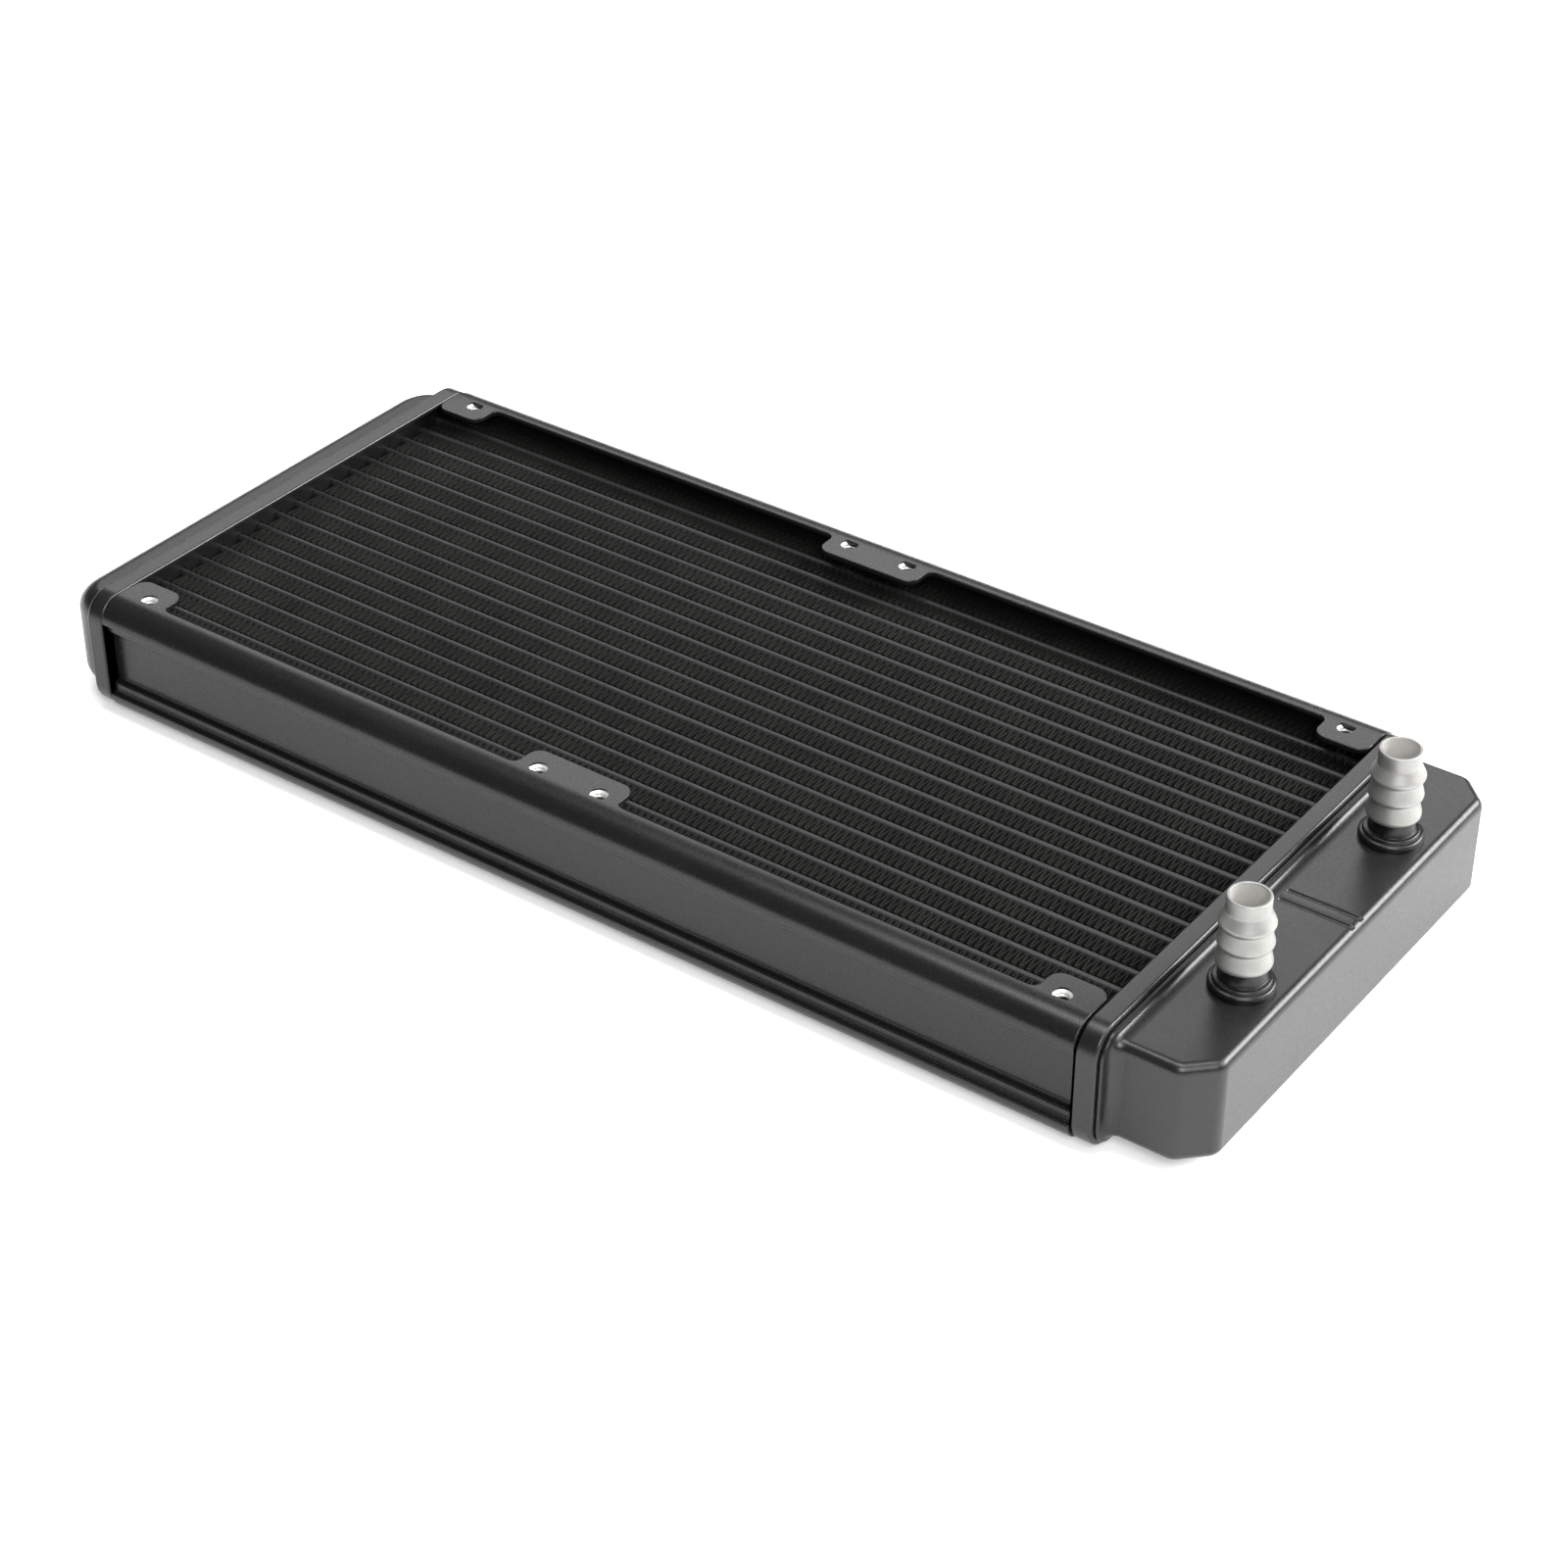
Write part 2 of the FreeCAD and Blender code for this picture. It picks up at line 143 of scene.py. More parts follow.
# Hose barbs: profiles as radius and height from the barb's foot, a ridge's foot or the nose's end
BORE = 3.5
BARB_TURNS = 80
FITTING_PROFILE = ((BORE, 0.0), (6.3, 0.0), (6.3, 0.9), (6.22, 1.2), (6.0, 1.42), (5.7, 1.5), (5.55, 1.55),
                   (5.5, 1.65), (5.48, 1.95), (5.38, 2.12), (5.2, 2.2), (4.6, 2.25), (4.5, 2.35), (4.5, 4.9))
FIRST_RIDGE = ((4.45, 4.9), (4.6, 5.0), (5.15, 5.4), (5.3, 5.9))
RIDGES = 3
RIDGE_START = 5.0
RIDGE_PITCH = 4.2
RIDGE_BACK = (5.25, 1.4)
RIDGE_VALLEY = ((4.95, 2.5), (4.68, 3.5), (4.6, 4.1), (4.72, 4.35), (5.15, 4.7), (5.3, 5.15))
LAST_SLOPE = ((4.9, 15.5), (4.5, 16.3), (4.22, 16.9), (4.15, 17.4))
RIDGE_STEPS = 4
NOSE_PROFILE = ((4.18, -0.3), (4.14, -0.1), (4.02, 0.0), (3.62, 0.0), (3.53, -0.06), (BORE, -0.2))

# Finishes: the part of a noise's range that is used, and how far gloss drifts either way
NOISE_RANGE = (0.3, 0.7)
GLOSS_DRIFT = 0.05

# Light: strength of the horizon, the ceiling and the floor, and soft boxes as place, aim, size and power
FLOOR_SIZE = 60.0
FLOOR_DROP = 0.0002
FLOOR_GLOW = 0.30
HORIZON = 0.06
CEILING = 0.12
CEILING_BLEND = (0.2, 0.4)
SOFT_BOXES = {
    "right_box": ((1.1, 0.5, 0.9), (0.05, 0.0, 0.0), (1.0, 1.0), 18.0),
    "front_box": ((0.8, -0.8, 1.0), (0.05, 0.0, 0.0), (0.8, 0.8), 18.0),
    "back_right_box": ((0.855, 1.0, 0.725), (0.0, 0.0, 0.0), (1.0, 0.5), 30.0),
    "back_box": ((-0.736, 1.133, 0.929), (0.0, 0.0, 0.0), (1.4, 0.55), 7.5),
    "top_box": ((0.0, 0.0, 1.5), (0.0, 0.0, 0.0), (1.2, 0.5), 16.0),
}

# Camera, solved from the photograph: place in metres, lens and sensor in millimetres, and angles
CAMERA_PLACE = (0.347388, -0.467550, 0.402639)
CAMERA_LENS = 78.512
CAMERA_SENSOR = 36.0
CAMERA_AZIMUTH = 35.9629
CAMERA_ELEVATION = 34.7223
CAMERA_ROLL = 0.1052


def node_box(node):
    """Lowest and highest corner of a CAD node, in millimetres."""
    low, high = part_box(node)
    return Vector(low) / MM, Vector(high) / MM


# Materials

def noise(tree, coords, size, detail=2.0, stretch=(1.0, 1.0, 1.0)):
    """Noise with patches of a size in millimetres."""
    mapping = tree.nodes.new("ShaderNodeMapping")
    mapping.inputs["Scale"].default_value = stretch
    tree.links.new(coords.outputs["Object"], mapping.inputs["Vector"])
    node = tree.nodes.new("ShaderNodeTexNoise")
    node.inputs["Scale"].default_value = 1 / (size * MM)
    node.inputs["Detail"].default_value = detail
    tree.links.new(mapping.outputs["Vector"], node.inputs["Vector"])
    return node.outputs["Fac"]


def spread(tree, factor, low, high):
    """A noise value brought from its middle range to a range of its own."""
    node = tree.nodes.new("ShaderNodeMapRange")
    node.inputs["From Min"].default_value = NOISE_RANGE[0]
    node.inputs["From Max"].default_value = NOISE_RANGE[1]
    node.inputs["To Min"].default_value = low
    node.inputs["To Max"].default_value = high
    tree.links.new(factor, node.inputs["Value"])
    return node.outputs["Result"]


def surface(name, dark, light, rough, patch, grain, depth, metallic=0.0, specular=0.5,
            stretch=(1.0, 1.0, 1.0)):
    """A finish whose colour drifts over patches and whose gloss and bump follow a fine grain, sizes in mm."""
    material = bpy.data.materials.new(name)
    material.use_nodes = True
    tree = material.node_tree
    shader = tree.nodes["Principled BSDF"]
    shader.inputs["Metallic"].default_value = metallic
    shader.inputs["Specular IOR Level"].default_value = specular
    coords = tree.nodes.new("ShaderNodeTexCoord")
    tint = tree.nodes.new("ShaderNodeMix")
    tint.data_type = "RGBA"
    tint.inputs["A"].default_value = (*dark, 1.0)
    tint.inputs["B"].default_value = (*light, 1.0)
    cloud = noise(tree, coords, patch, detail=4.0)
    tree.links.new(spread(tree, cloud, 0.0, 1.0), tint.inputs["Factor"])
    tree.links.new(tint.outputs["Result"], shader.inputs["Base Color"])
    fine = noise(tree, coords, grain, stretch=stretch)
    gloss = spread(tree, fine, rough - GLOSS_DRIFT, rough + GLOSS_DRIFT)
    tree.links.new(gloss, shader.inputs["Roughness"])
    bump = tree.nodes.new("ShaderNodeBump")
    bump.inputs["Strength"].default_value = 1.0
    bump.inputs["Distance"].default_value = depth * MM
    tree.links.new(fine, bump.inputs["Height"])
    tree.links.new(bump.outputs["Normal"], shader.inputs["Normal"])
    return material


TANK_COAT = surface("tank_coat", dark=(0.0065, 0.0065, 0.0068), light=(0.0095, 0.0095, 0.01),
                    rough=0.32, patch=18.0, grain=0.45, depth=0.004, specular=0.45)
COVER_COAT = surface("cover_coat", dark=(0.006, 0.0062, 0.0066), light=(0.0085, 0.0088, 0.0094),
                     rough=0.30, patch=30.0, grain=0.5, depth=0.0018, specular=0.4)
TUBE_COAT = surface("tube_coat", dark=(0.013, 0.013, 0.0132), light=(0.019, 0.019, 0.0188),
                    rough=0.40, patch=12.0, grain=0.4, depth=0.01, specular=0.4)
FIN_COAT = surface("fin_coat", dark=(0.0082, 0.0082, 0.0078), light=(0.0148, 0.0143, 0.013),
                   rough=0.55, patch=9.0, grain=0.3, depth=0.01, specular=0.2)
FITTING_COAT = surface("fitting_coat", dark=(0.003, 0.003, 0.003), light=(0.005, 0.005, 0.0053),
                       rough=0.30, patch=6.0, grain=0.3, depth=0.006, specular=0.4)
BARE_METAL = surface("bare_metal", dark=(0.30, 0.297, 0.284), light=(0.35, 0.346, 0.331),
                     rough=0.46, patch=3.0, grain=0.12, depth=0.004, metallic=0.8,
                     stretch=(0.05, 0.05, 1.0))
BRIGHT_METAL = surface("bright_metal", dark=(0.70, 0.69, 0.67), light=(0.78, 0.77, 0.75),
                       rough=0.45, patch=3.0, grain=0.12, depth=0.004, metallic=0.4)
# The bore is the barb's own bare metal, painted lighter than its outside to stand in for light reaching down
# into it: painted light.
BORE_PAINTED_LIGHT = surface("bore_painted_light", dark=(0.45, 0.44, 0.42), light=(0.51, 0.5, 0.48),
                     rough=0.5, patch=3.0, grain=0.12, depth=0.004, metallic=0.3)
FLOOR_PAINT = surface("floor_paint", dark=(0.86, 0.86, 0.86), light=(0.88, 0.88, 0.88),
                      rough=0.8, patch=300.0, grain=2.0, depth=0.02)
floor_shader = FLOOR_PAINT.node_tree.nodes["Principled BSDF"]
floor_shader.inputs["Emission Color"].default_value = (1.0, 1.0, 1.0, 1.0)
floor_shader.inputs["Emission Strength"].default_value = FLOOR_GLOW


# Mesh helpers

def loft(bm, rings, cap_start=False, cap_end=False):
    """Quads between closed rings of points in millimetres, with flat ends where asked."""
    rows = [[bm.verts.new(Vector(point) * MM) for point in ring] for ring in rings]
    for first, second in zip(rows, rows[1:]):
        for k in range(len(first)):
            after = (k + 1) % len(first)
            bm.faces.new((first[k], first[after], second[after], second[k]))
    if cap_start:
        bm.faces.new(rows[0][::-1])
    if cap_end:
        bm.faces.new(rows[-1])
    return rows


def turned(bm, x, y, profile, steps):
    """Turned form round an upright axis, from a profile of radius and height."""
    turns = [2 * math.pi * k / steps for k in range(steps)]
    loft(bm, [[(x + r * math.cos(t), y + r * math.sin(t), z) for t in turns] for r, z in profile])


def weld(bm):
    """Join points that lie in the same place."""
    bmesh.ops.remove_doubles(bm, verts=bm.verts, dist=WELD * MM)


def add_piece(name, bm, nodes, materials, sharp=32.0, flat=False):
    """Make an object of a mesh in place of CAD nodes, smooth but for edges over the sharp angle.

    Where flat is asked for, large flat faces keep an even shade up to their rounded edges.
    """
    bmesh.ops.recalc_face_normals(bm, faces=bm.faces)
    mesh = bpy.data.meshes.new(name)
    bm.to_mesh(mesh)
    bm.free()
    mesh.polygons.foreach_set("use_smooth", [True] * len(mesh.polygons))
    mesh.set_sharp_from_angle(angle=math.radians(sharp))
    for material in materials:
        mesh.materials.append(material)
    piece = bpy.data.objects.new(name, mesh)
    bpy.context.scene.collection.objects.link(piece)
    if nodes:
        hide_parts(*nodes)
    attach(piece, "root")
    if flat:
        piece.modifiers.new("flat_faces", "WEIGHTED_NORMAL").keep_sharp = True


def rounded_rectangle(half_y, low, high, radius, steps=8):
    """Outline in the YZ plane, from the lower right corner round."""
    outline = []
    for y, z, start in ((half_y - radius, low + radius, -90), (half_y - radius, high - radius, 0),
                        (radius - half_y, high - radius, 90), (radius - half_y, low + radius, 180)):
        for k in range(steps + 1):
            turn = math.radians(start + 90 * k / steps)
            outline.append((y + radius * math.cos(turn), z + radius * math.sin(turn)))
    return outline


def rounded_corner(before, corner, after, radius, steps):
    """Points of an arc in place of a corner of a plan."""
    come, go = (before - corner).normalized(), (after - corner).normalized()
    half = come.angle(go) / 2
    reach = radius / math.tan(half)
    centre = corner + (come + go).normalized() * radius / math.sin(half)
    start, end = corner + come * reach - centre, corner + go * reach - centre
    total = start.angle_signed(end)
    points = []
    for k in range(steps + 1):
        turn = -total * k / steps
        points.append(centre + Vector((start.x * math.cos(turn) - start.y * math.sin(turn),
                                       start.x * math.sin(turn) + start.y * math.cos(turn))))
    return points


def shrunk(line, inset):
    """A closed line of plane points moved inwards."""
    area = sum(a.x * b.y - b.x * a.y for a, b in zip(line, line[1:] + line[:1]))
    inset = math.copysign(inset, area)
    moved = []
    for before, at, after in zip(line[-1:] + line, line, line[1:] + line[:1]):
        way = (after - before).normalized()
        moved.append(at + inset * Vector((-way.y, way.x)))
    return moved


def quarter_turns(steps):
    """Angles in steps from nothing to a quarter turn."""
    return [math.radians(90 * k / steps) for k in range(steps + 1)]


def edge_round(radius, steps=3):
    """Depth below a face and inset from a side along a rounded edge between them, from the face on."""
    return [(radius * (1 - math.cos(turn)), radius * (1 - math.sin(turn))) for turn in quarter_turns(steps)]


def circle(bm, centre, radius, steps=48):
    """Row of vertices round a level hole."""
    x, y, z = centre
    turns = [2 * math.pi * k / steps for k in range(steps)]
    points = [Vector((x + radius * math.cos(t), y + radius * math.sin(t), z)) for t in turns]
    return [bm.verts.new(point * MM) for point in points]


def holed_face(bm, outline, holes):
    """Flat face between an outline and the holes in it, each a row of vertices."""
    verts = outline + [vert for hole in holes for vert in hole]
    for corner in tessellate_polygon([[vert.co for vert in line] for line in [outline] + holes]):
        bm.faces.new([verts[k] for k in corner])


def from_cad(node):
    """A CAD node's form as clean flat faces, ready to have its edges rounded."""
    bm = bmesh.new()
    bm.from_mesh(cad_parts[node].data)
    weld(bm)
    bmesh.ops.dissolve_limit(bm, angle_limit=math.radians(FLAT_WITHIN), verts=bm.verts, edges=bm.edges)
    return bm


def round_edges(bm, width, segments, test, profile=0.5):
    """Round the edges that pass a test on their middle point in mm and angle in degrees."""
    chosen = []
    for edge in bm.edges:
        if len(edge.link_faces) != 2:
            continue
        middle = (edge.verts[0].co + edge.verts[1].co) / 2 / MM
        if test(middle, math.degrees(edge.calc_face_angle())):
            chosen.append(edge)
    bmesh.ops.bevel(bm, geom=chosen, offset=width * MM, segments=segments, profile=profile,
                    affect="EDGES", clamp_overlap=True)


# Core

def fin_line(start, end, low, high):
    """To and fro line of a folded fin between two tubes, with small flats at its crests."""
    count = round((end - start) / FIN_PERIOD)
    period = (end - start) / count
    flat = FIN_CREST / 2
    line = []
    for k in range(count):
        at = start + k * period
        line += [(at + flat, low), (at + period / 2 - flat, high), (at + period / 2 + flat, high),
                 (at + period - flat, low)]
    return [Vector(point) for point in line]


def fin_strip(node):
    """Folded strip of thin sheet with all its folds, a little taller than the coarse CAD one."""
    low, high = node_box(node)
    low.z, high.z = low.z - FIN_RISE, high.z + FIN_RISE
    half = FIN_SHEET / 2
    line = fin_line(low.x, high.x, low.y + half, high.y - half)
    rings = []
    for before, at, after in zip(line[:1] + line, line, line[1:] + line[-1:]):
        come, go = (at - before).normalized(), (after - at).normalized()
        across = (come + go).orthogonal().normalized() * half
        if come.length and go.length:
            across /= math.cos(come.angle(go) / 2)
        one, other = at - across, at + across
        rings.append([(one.x, one.y, low.z), (other.x, other.y, low.z),
                      (other.x, other.y, high.z), (one.x, one.y, high.z)])
    bm = bmesh.new()
    loft(bm, rings, cap_start=True, cap_end=True)
    add_piece(node + "_folded", bm, [node], [FIN_COAT], sharp=20.0)


def flat_tube(node):
    """Hollow tube with round noses."""
    low, high = node_box(node)
    mid_y = (low.y + high.y) / 2
    radius = (high.y - low.y) / 2

    def stadium(x, reduced):
        outline = []
        for centre, start in ((high.z - radius, 0), (low.z + radius, 180)):
            for k in range(NOSE_STEPS + 1):
                turn = math.radians(start + 180 * k / NOSE_STEPS)
                outline.append((x, mid_y + (radius - reduced) * math.cos(turn),
                                centre + (radius - reduced) * math.sin(turn)))
        return outline

    rings = [stadium(low.x, 0), stadium(high.x, 0), stadium(high.x, TUBE_WALL), stadium(low.x, TUBE_WALL),
             stadium(low.x, 0)]
    bm = bmesh.new()
    loft(bm, rings)
    weld(bm)
    add_piece(node + "_round", bm, [node], [TUBE_COAT])


# Headers

def header(node):
    """Header in its CAD form, with its two outer rims rounded."""
    low, high = node_box(node)
    face, skirt = (high.x, low.x) if high.x > 0 else (low.x, high.x)

    def is_rim(at, angle, place):
        """Whether an edge runs round the header's outline, with its rounded corners, at a place along X."""
        across = abs(at.y) - high.y + HEADER_CORNER
        up = abs(at.z - (low.z + high.z) / 2) - (high.z - low.z) / 2 + HEADER_CORNER
        reach = math.hypot(across, up) if min(across, up) > 0 else max(across, up)
        return angle > RIM_ANGLE and abs(at.x - place) < SAME_PLACE and reach > HEADER_CORNER - RIM_SLACK

    bm = from_cad(node)
    round_edges(bm, FACE_RIM, FACE_RIM_STEPS, lambda at, angle: is_rim(at, angle, face))
    round_edges(bm, SKIRT_RIM, SKIRT_RIM_STEPS, lambda at, angle: is_rim(at, angle, skirt),
                profile=SKIRT_RIM_PROFILE)
    add_piece(node + "_rounded", bm, [node], [TANK_COAT], sharp=28.0, flat=True)


# Side covers

def cover_bend(sheet, degrees, steps):
    """Elliptic bend from the lip into the bead, on the outer side or a sheet's thickness further in."""
    turns = [math.radians(degrees) * k / steps for k in range(steps + 1)]
    return [Vector((BEND_REACH - (BEND_REACH - sheet) * math.sin(turn),
                    COVER_BEAD - (COVER_BEAD - sheet) * math.cos(turn))) for turn in turns]


def cover_half():
    """Outer and inner line of the lower half of a cover: lip, bead, land and sunk panel."""
    middle = Vector((LIP_EDGE, COVER_SHEET / 2))
    lip = [Vector((LIP_EDGE, 0.0)), Vector((LIP_EDGE, COVER_SHEET))]
    start = [Vector((BEND_REACH, 0.0)), Vector((BEND_REACH, COVER_SHEET))]
    bead_end = Vector((0.0, COVER_BEAD))
    shoulders = [Vector(corner) for corner in COVER_SHOULDERS]
    corners = [Vector((0.0, 0.0))] + shoulders + [shoulders[-1] + bead_end]
    outer = [middle] + rounded_corner(middle, lip[0], start[0], LIP_ROUND, LIP_STEPS)
    outer += cover_bend(0.0, OUTER_BEND, OUTER_BEND_STEPS)
    for before, corner, after in zip(corners, corners[1:], corners[2:]):
        radius = min(SHOULDER_ROUND, (corner - bead_end).length * SHOULDER_SHARE)
        outer += rounded_corner(before, corner, after, radius, SHOULDER_STEPS)
    inner = rounded_corner(middle, lip[1], start[1], LIP_ROUND, LIP_STEPS)
    inner += cover_bend(COVER_SHEET, INNER_BEND, INNER_BEND_STEPS)
    inner += [corner + Vector((COVER_SHEET, -COVER_SHEET)) for corner in shoulders[1:]]
    return outer, inner


def cover_section(height):
    """Closed section of a cover, with both halves."""
    outer, inner = cover_half()

    def upper(line):
        return [Vector((inset, height - up)) for inset, up in line]

    return outer + upper(outer[::-1]) + upper(inner) + inner[::-1]


def cover_stations():
    """Places along a cover, with the inset of its rounded ends."""
    ends = [(COVER_LENGTH / 2 - depth, inset) for depth, inset in edge_round(SHEET_EDGE)]
    return [(-x, inset) for x, inset in ends] + ends[::-1]


def tab_plan(left, right, reach):
    """Plan of a tab as place along X and inset, with round corners and a hollow root at the lip."""
    end = COVER_LENGTH / 2
    near, far = Vector((left, reach)), Vector((right, reach))
    lip_near, lip_far = Vector((left, LIP_EDGE)), Vector((right, LIP_EDGE))
    root = Vector((TAB_ROOT, 0.0))
    plan = []
    if left > -end:
        plan.append(Vector((left - TAB_ROOT, BEND_REACH)))
        plan += rounded_corner(lip_near - root, lip_near, near, TAB_ROOT, TAB_ROOT_STEPS)
    else:
        plan.append(Vector((left, BEND_REACH)))
    plan += rounded_corner(lip_near, near, far, TAB_CORNER, TAB_CORNER_STEPS)
    plan += rounded_corner(near, far, lip_far, TAB_CORNER, TAB_CORNER_STEPS)
    if right < end:
        plan += rounded_corner(far, lip_far, lip_far + root, TAB_ROOT, TAB_ROOT_STEPS)
        plan.append(Vector((right + TAB_ROOT, BEND_REACH)))
    else:
        plan.append(Vector((right, BEND_REACH)))
    return plan


def tab(bm, left, right, reach, spot, face, inward):
    """Tab of a lip, from its outer face inwards, with rounded edges and its screw holes."""
    plan = tab_plan(left, right, reach)
    levels = edge_round(SHEET_EDGE)
    levels += [(COVER_SHEET - depth, inset) for depth, inset in reversed(levels)]
    outlines = [(face + inward * (depth + TAB_SINK), shrunk(plan, inset)) for depth, inset in levels]
    rows = loft(bm, [[spot(x, across, level) for x, across in outline] for level, outline in outlines])
    screws = [place for place in SCREW_PLACES if left < place < right]
    rims = []
    for row in (rows[0], rows[-1]):
        level = row[0].co.z / MM
        rims.append([circle(bm, spot(place, SCREW_INSET, level), SCREW_SINK) for place in screws])
        holed_face(bm, row, rims[-1])
    for first, second in zip(*rims):
        for k in range(len(first)):
            bm.faces.new((first[k - 1], first[k], second[k], second[k - 1]))


def side_cover(node):
    """Bent sheet cover with three tabs on each lip and a tongue into both headers."""
    low, high = node_box(node)
    middle, height = (low.x + high.x) / 2, high.z
    side = 1 if high.y > 0 else -1
    width = max(abs(low.y), abs(high.y))
    reach = high.y - low.y
    end = COVER_LENGTH / 2

    def spot(x, across, up):
        """Point of the cover at a place along it, an inset from its outer side and a height."""
        return middle + x, side * (width - across), up

    bm = bmesh.new()
    section = cover_section(height)
    sections = [(x, shrunk(section, inset)) for x, inset in cover_stations()]
    loft(bm, [[spot(x, across, up) for across, up in line] for x, line in sections],
         cap_start=True, cap_end=True)
    for left, right in ((-end, END_TAB - end), (-MID_TAB / 2, MID_TAB / 2), (end - END_TAB, end)):
        for face, inward in ((0.0, 1), (height, -1)):
            tab(bm, left, right, reach, spot, face, inward)
    inset, edge = COVER_SHOULDERS[-1]
    outside, inside = inset + SHEET_PLAY, inset + COVER_SHEET - SHEET_PLAY
    tongue = [(outside, edge), (inside, edge), (inside, height - edge), (outside, height - edge)]
    loft(bm, [[spot(x - middle, across, up) for across, up in tongue] for x in (low.x, high.x)],
         cap_start=True, cap_end=True)
    add_piece(node + "_bent", bm, [node], [COVER_COAT], sharp=35.0, flat=True)


# Tanks

def tank_plan(depth, half, cut, radius, inset, stops):
    """Plan of a tank moved inwards, except at the header, with extra points at its stops across."""
    depth, half = depth - inset, half - inset
    if cut:
        # The three sides of a cut corner move in alike, which shortens its legs by less than the inset
        cut -= inset * (2 - math.sqrt(2))
        corners = [(0, -half), (depth - cut, -half), (depth, cut - half), (depth, half - cut),
                   (depth - cut, half), (0, half)]
    else:
        corners = [(0, -half), (depth, -half), (depth, half), (0, half)]
    corners = [Vector(corner) for corner in corners]
    radius = max(radius - inset, LEAST_CORNER)
    points = [corners[0]]
    for before, corner, after in zip(corners, corners[1:], corners[2:]):
        points += rounded_corner(before, corner, after, radius, CORNER_STEPS)
        if corner.y < 0 < after.y:
            points += [Vector((depth, across)) for across in stops]
    points.append(corners[-1])
    points += [Vector((0, across)) for across in reversed(stops)]
    return points


def groove_fall(across):
    """How deep a pressed groove is at a place across the tank."""
    nearest = min(abs(across - groove) for groove in GROOVES)
    return GROOVE_DEPTH * max(0.0, 1 - (nearest / GROOVE_HALF) ** 2) ** 2


def groove_run(start):
    """Places along the start of a pressed groove, with the share of its depth that it has there."""
    ways = [k / RAMP_STEPS for k in range(RAMP_STEPS + 1)]
    return [(start + GROOVE_RAMP * way, way ** 2 * (3 - 2 * way)) for way in ways]


def sink_rim(rows, turns, out):
    """Let the grooves run out over the rounded front rim, whose rows lie at some turns from the wall up."""
    for row, turn in zip(rows, turns):
        share = max(0.0, (math.sin(turn) - RIM_FADE) / (1 - RIM_FADE))
        for vert in row:
            if (vert.co.x - row[0].co.x) * out > SAME_PLACE * MM:
                fall = share * groove_fall(vert.co.y / MM) * MM
                vert.co += Vector((-out * math.cos(turn), 0.0, -math.sin(turn))) * fall


def crown_rows(rows, face, depth, middle, height, crown):
    """Let the upper and lower side of a tank fall off softly towards its outer end."""
    for vert in (vert for row in rows for vert in row):
        reach = abs(vert.co.x / MM - face) / depth
        vert.co.z -= crown * reach ** 2 * (vert.co.z - middle * MM) / (height / 2)


def tank(node, side, over, rim, cut, radius, holes, crown):
    """Pressed tank with rounded rims, a foot with a soft inner corner and, with ports, two pressed grooves.

    Its walls stand in from the foot by side and over, its rims have the radius rim, its front corners are
    cut off or round, its port holes lie at the places in holes, and its sides fall off by crown.
    """
    low, high = node_box(node)
    out = 1 if high.x > 0 else -1
    face = low.x if out > 0 else high.x
    depth = high.x - low.x
    half, bottom, top = high.y - side, low.z + over, high.z - over
    steps = range(-GROOVE_STEPS, GROOVE_STEPS + 1)
    stops = [groove + GROOVE_HALF * k / GROOVE_STEPS for groove in GROOVES for k in steps] if holes else []
    turns = quarter_turns(RIM_STEPS)
    levels = [(bottom + rim * (1 - math.sin(turn)), rim * (1 - math.cos(turn))) for turn in reversed(turns)]
    levels += [(top - rim * (1 - math.sin(turn)), rim * (1 - math.cos(turn))) for turn in turns]
    bm = bmesh.new()
    rows = loft(bm, [[(face + out * u, v, z) for u, v in tank_plan(depth, half, cut, radius, inset, stops)]
                     for z, inset in levels], cap_start=True)
    crown_rows(rows, face, depth, (bottom + top) / 2, top - bottom, crown)
    stretch = FILLET_STRETCH if holes else 1.0
    fillet = (stretch * (over - FOOT_LEDGE), side - FOOT_LEDGE, over - FOOT_LEDGE)
    if holes:
        sink_rim(rows[-len(turns):], turns, out)
        run = groove_run(TANK_FOOT + fillet[0] - GROOVE_LEAD)
        grooved_top(bm, rows[-1], stops, [(face + out * u, share) for u, share in run], holes, top)
    else:
        bm.faces.new(rows[-1])
    foot(bm, face, out, low, high, (half, bottom, top, rim), fillet)
    add_piece(node + "_pressed", bm, [node], [TANK_COAT], sharp=40.0, flat=True)


def grooved_top(bm, ring, stops, run, holes, top):
    """Top face of a tank: a band with two pressed grooves and a field with a port hole either side."""
    count = len(stops)
    first = next(k for k, vert in enumerate(ring) if abs(vert.co.y / MM - stops[0]) < SAME_PLACE)
    lines = [ring[-count:][::-1]]
    for x, share in run:
        points = [Vector((x, across, top - share * groove_fall(across))) for across in stops]
        lines.append([bm.verts.new(point * MM) for point in points])
    lines.append(ring[first:first + count])
    for back, front in zip(lines, lines[1:]):
        for k in range(count - 1):
            bm.faces.new((back[k], front[k], front[k + 1], back[k + 1]))
    fields = (ring[:first + 1] + [line[0] for line in lines[-2::-1]],
              ring[first + count - 1:-count] + [line[-1] for line in lines[:-1]])
    for field, (hole_x, hole_y) in zip(fields, holes):
        holed_face(bm, field, [circle(bm, (hole_x, hole_y, top), BORE)])


